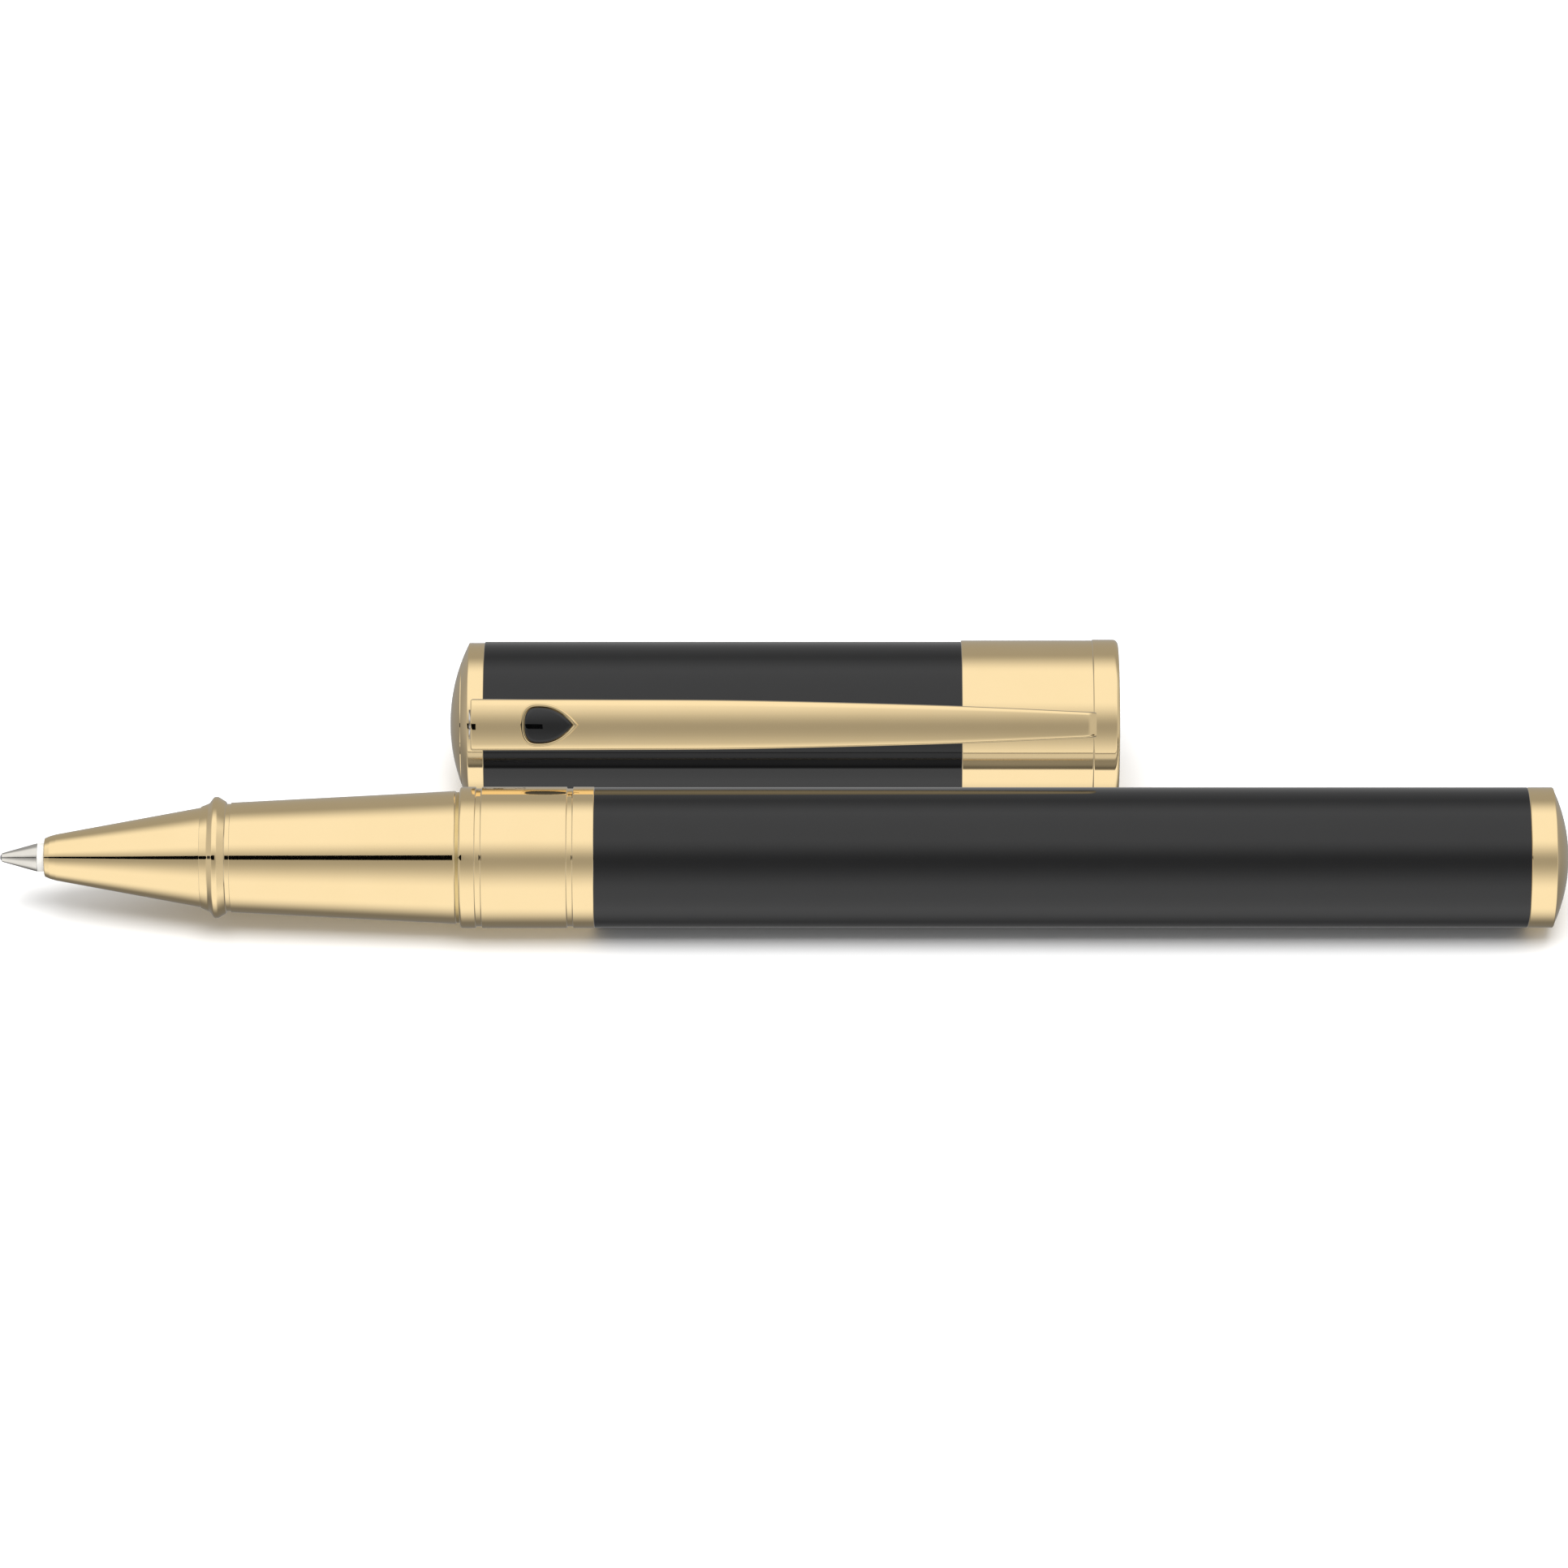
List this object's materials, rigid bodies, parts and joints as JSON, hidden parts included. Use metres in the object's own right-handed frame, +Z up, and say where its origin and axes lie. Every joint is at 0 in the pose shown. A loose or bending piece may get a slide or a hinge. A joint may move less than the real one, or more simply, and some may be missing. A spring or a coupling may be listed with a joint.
{
  "type": "rollerball pen",
  "caption": "Slim capped rollerball pen, shown open: black lacquered barrel, gilt grip section and bands, and its cap with a sprung clip lying beside it.",
  "frame": {"origin": "middle of the base of the whole box, on the surface that pen and cap lie on", "axes": "+X from the writing tip to the barrel's tail and from the cap's crown to its mouth; +Y from the pen to the cap; +Z up"},
  "size_m": [0.1332, 0.0296, 0.0144],
  "materials": {
    "black_lacquer": "deep glossy black lacquer over brass",
    "gilt": "polished pale yellow gold plating",
    "brass": "plain turned brass",
    "steel": "bright spring steel",
    "nickel_silver": "turned nickel silver",
    "tungsten_carbide": "polished, inked ball",
    "white_plastic": "satin white plastic",
    "black_plastic": "satin black plastic",
    "rubber": "matt black rubber",
    "fibre": "ink-soaked polyester fibre",
    "refill_metal": "drawn stainless steel",
    "onyx": "polished black stone"
  },
  "bodies": {
    "barrel": {"barrel_tube": "black_lacquer", "front_band": "gilt", "thread_bush": "brass", "tail_ring": "gilt", "tail_dome": "gilt", "tail_plug": "brass", "spring_seat": "black_plastic", "refill_spring": "steel"},
    "refill": {"tip_cone": "nickel_silver", "refill_neck": "white_plastic", "ink_feed": "fibre", "ink_reservoir": "fibre", "refill_tube": "refill_metal", "refill_end_plug": "white_plastic"},
    "tip_ball": {"tip_ball": "tungsten_carbide"},
    "grip_section": {"nose_cone": "gilt", "grip_collar": "gilt", "grip_sleeve": "gilt", "section_core": "brass", "section_seal": "rubber"},
    "cap": {"crown_dome": "gilt", "crown_ring": "gilt", "clip_pin": "steel", "clip_spring": "steel", "cap_tube": "black_lacquer", "cap_band": "gilt", "cap_lip_ring": "gilt", "mouth_bush": "brass", "clutch_ring": "steel", "inner_cap": "black_plastic", "crown_screw": "steel"},
    "clip": {"clip": "gilt", "clip_bezel": "gilt", "clip_stone": "onyx"}
  },
  "joints": [
    {"name": "cap_draw", "type": "slide", "parent": "barrel", "child": "cap", "axis": [-1, 0, 0], "range_m": [0, 0.05]},
    {"name": "clip_lift", "type": "hinge", "parent": "cap", "child": "clip", "pos_m": [-0.02595, 0.00343, 0.01054], "axis": [0, -0.6225, -0.7826], "range_deg": [0, 4], "stiffness_Nm_per_rad": 0.5, "springref_deg": -2.86},
    {"name": "refill_travel", "type": "slide", "parent": "barrel", "child": "refill", "axis": [-1, 0, 0], "range_m": [0, 0.00451], "deforming": ["refill_spring"]},
    {"name": "section_turn", "type": "hinge", "parent": "refill", "child": "grip_section", "pos_m": [0, -0.00884, 0.006], "axis": [-1, 0, 0], "range_deg": [0, 2160]},
    {"name": "ball_roll", "type": "hinge", "parent": "refill", "child": "tip_ball", "pos_m": [-0.06625, -0.00884, 0.006], "axis": [0, 1, 0], "continuous": true}
  ],
  "couplings": [
    {"joint": "refill_travel", "follows": "section_turn", "m_per_rad": 0.00011937}
  ]
}
